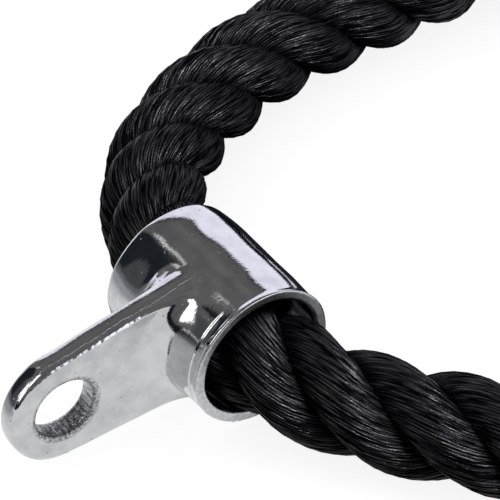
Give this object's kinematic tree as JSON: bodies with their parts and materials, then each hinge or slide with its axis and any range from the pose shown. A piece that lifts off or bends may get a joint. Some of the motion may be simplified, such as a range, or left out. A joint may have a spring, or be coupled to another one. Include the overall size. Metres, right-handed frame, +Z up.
{
  "type": "triceps rope attachment",
  "caption": "Thick black twisted rope running through a chromed sleeve with a flat eye lug, a moulded stopper on each end, for cable machine pushdowns.",
  "frame": {"origin": "middle of the base of the box round the casting and the rope's ends, on the surface that it lies on", "axes": "+Z up from that surface, +Y along the sleeve's axis towards the rear mouth, -X the way the eye points"},
  "size_m": [0.3734, 0.371, 0.05],
  "materials": {
    "chromed_casting": "polished, with fine casting pits",
    "rope": "glossy filament yarn",
    "ferrule": "drawn and crimped",
    "stopper_rubber": "moulded, satin",
    "plug": "fine moulded grain"
  },
  "bodies": {
    "fitting": {"eye_sleeve": "chromed_casting"},
    "rope_middle": {"rope_core": "rope", "front_rope_bend": "rope", "rear_rope_bend": "rope"},
    "front_tail": {"front_rope_tail": "rope", "front_crimp_ferrule": "ferrule", "front_end_stopper": "stopper_rubber", "front_end_plug": "plug"},
    "rear_tail": {"rear_rope_tail": "rope", "rear_crimp_ferrule": "ferrule", "rear_end_stopper": "stopper_rubber", "rear_end_plug": "plug"}
  },
  "joints": [
    {"name": "rope_swivel", "type": "hinge", "parent": "fitting", "child": "rope_middle", "pos_m": [-0.11714, 0.08094, 0.0221], "axis": [0, -1, 0], "continuous": true},
    {"name": "front_tail_swing", "type": "hinge", "parent": "rope_middle", "child": "front_tail", "pos_m": [-0.10509, 0.03509, 0.01736], "axis": [0, 0, -1], "range_deg": [-22, 35], "deforming": ["front_rope_bend"]},
    {"name": "rear_tail_swing", "type": "hinge", "parent": "rope_middle", "child": "rear_tail", "pos_m": [-0.10566, 0.12706, 0.01744], "axis": [0, 0, 1], "range_deg": [-22, 35], "deforming": ["rear_rope_bend"]}
  ]
}
